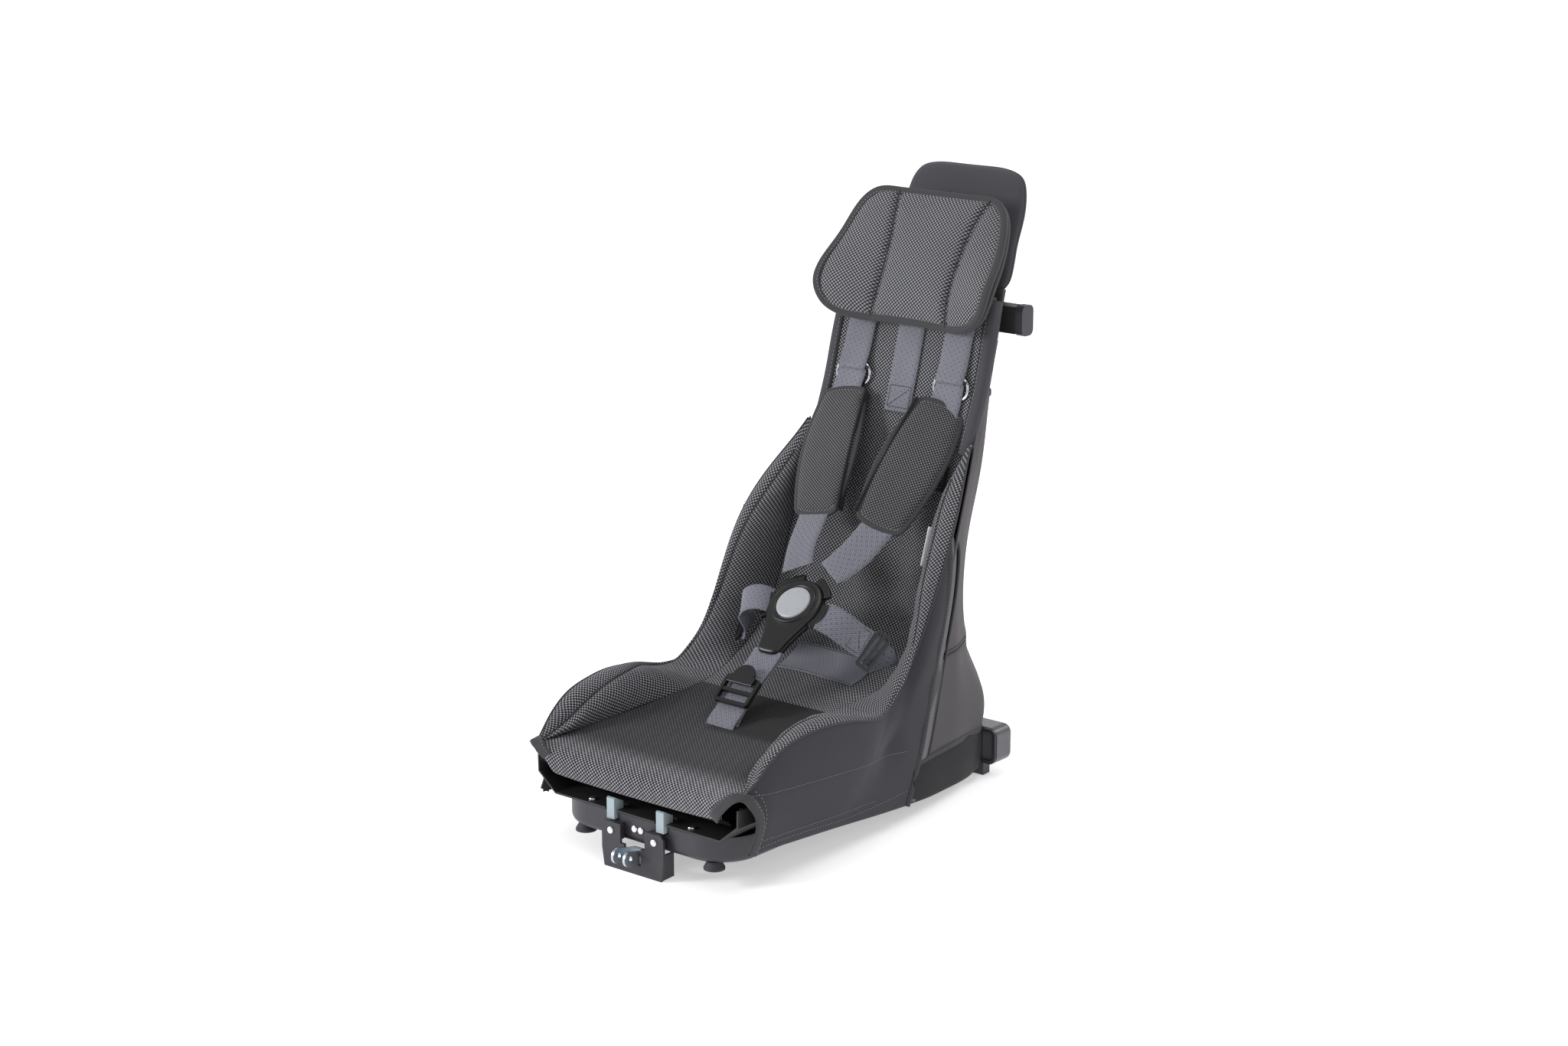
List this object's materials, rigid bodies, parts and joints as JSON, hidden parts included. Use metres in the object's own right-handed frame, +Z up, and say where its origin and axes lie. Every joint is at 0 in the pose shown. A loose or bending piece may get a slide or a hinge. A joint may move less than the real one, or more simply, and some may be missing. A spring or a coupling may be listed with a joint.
{
  "type": "docking child seat",
  "caption": "Slim reclined child seat with a fabric bucket, padded head cushion, five-strap harness with a round buckle, and a docking base with hitch lugs and crossbars.",
  "frame": {"origin": "centre of the seat's bounding box on the floor it stands on", "axes": "+X to the right as seen from the front, +Y towards the back, +Z up"},
  "size_m": [0.307, 0.6348, 0.6495],
  "materials": {
    "base_plastic": "fine moulded grain, satin",
    "gloss_black": "smooth, half gloss",
    "foot_rubber": "matt",
    "powder_coat": "fine powder coat",
    "zinc": "bright zinc plate",
    "bright_steel": "bright",
    "tab_grey": "fine moulded grain",
    "board": "plain",
    "knit": "fine spacer knit",
    "mesh_fabric": "coarse spacer mesh",
    "softshell_dark": "plain softshell",
    "softshell_rear": "plain softshell",
    "webbing": "twill webbing",
    "buckle_black": "satin",
    "button_grey": "fine moulded grain"
  },
  "bodies": {
    "seat": {"back_board": "board", "back_panel": "mesh_fabric", "base_ring": "base_plastic", "buckle_back": "buckle_black", "buckle_housing": "buckle_black", "centre_strap": "webbing", "crotch_adjuster": "buckle_black", "crotch_strap": "webbing", "frame_bolts": "bright_steel", "front_cross_tube": "powder_coat", "front_feet": "foot_rubber", "headboard_cover": "softshell_dark", "hip_adjuster_left": "buckle_black", "hip_adjuster_right": "buckle_black", "hitch_bracket": "powder_coat", "hitch_pin": "zinc", "hitch_rivets": "zinc", "lap_webbing": "webbing", "pan_board": "board", "pan_cover": "knit", "rail_cover_left": "softshell_dark", "rail_cover_right": "softshell_dark", "rear_bar_rims": "base_plastic", "rear_cover": "softshell_rear", "rear_cover_left": "softshell_rear", "rear_cover_right": "softshell_rear", "rear_crossbar": "gloss_black", "rear_feet": "base_plastic", "rear_strut_left": "powder_coat", "rear_strut_right": "powder_coat", "shoulder_strap_left": "webbing", "shoulder_strap_right": "webbing", "shoulder_tongues": "buckle_black", "side_skirt_left": "softshell_dark", "side_skirt_right": "softshell_dark", "side_tube_left": "powder_coat", "side_tube_right": "powder_coat", "strap_slide_left": "bright_steel", "strap_slide_right": "bright_steel", "thigh_bolster_left": "mesh_fabric", "thigh_bolster_right": "mesh_fabric", "torso_bolster_left": "mesh_fabric", "torso_bolster_right": "mesh_fabric", "tray": "powder_coat", "tray_screws": "bright_steel", "upper_cap_left": "base_plastic", "upper_cap_right": "base_plastic", "upper_crossbar": "powder_coat", "waist_strap_left": "webbing", "waist_strap_right": "webbing", "waist_tongues": "buckle_black"},
    "headrest": {"head_cushion": "mesh_fabric", "head_cushion_back": "softshell_dark"},
    "hitch": {"hitch_lugs": "zinc"},
    "tab_left": {"release_tab_left": "tab_grey"},
    "tab_right": {"release_tab_right": "tab_grey"},
    "button": {"buckle_button": "button_grey"},
    "thumb": {"crotch_thumb_tab": "buckle_black"},
    "pad_left": {"shoulder_pad_left": "mesh_fabric"},
    "pad_right": {"shoulder_pad_right": "mesh_fabric"}
  },
  "joints": [
    {"name": "headrest_height", "type": "slide", "parent": "seat", "child": "headrest", "axis": [0, 0.3191, 0.9477], "range_m": [-0.015, 0.03]},
    {"name": "hitch_swing", "type": "hinge", "parent": "seat", "child": "hitch", "pos_m": [0, -0.2823, 0.01737], "axis": [-1, 0, 0], "range_deg": [-8, 15]},
    {"name": "tab_left_press", "type": "slide", "parent": "seat", "child": "tab_left", "axis": [0, 0.9989, -0.0471], "range_m": [0, 0.005], "stiffness_N_per_m": 400},
    {"name": "tab_right_press", "type": "slide", "parent": "seat", "child": "tab_right", "axis": [0, 0.9989, -0.0471], "range_m": [0, 0.005], "stiffness_N_per_m": 400},
    {"name": "buckle_press", "type": "slide", "parent": "seat", "child": "button", "axis": [0, 0.6184, -0.7859], "range_m": [0, 0.003], "stiffness_N_per_m": 800},
    {"name": "thumb_lift", "type": "hinge", "parent": "seat", "child": "thumb", "pos_m": [0, -0.11716, 0.15733], "axis": [1, 0, 0], "range_deg": [0, 30]},
    {"name": "pad_left_slide", "type": "slide", "parent": "seat", "child": "pad_left", "axis": [0.211, -0.6673, -0.7143], "range_m": [0, 0.02]},
    {"name": "pad_right_slide", "type": "slide", "parent": "seat", "child": "pad_right", "axis": [-0.1861, -0.6708, -0.7179], "range_m": [0, 0.02]}
  ]
}
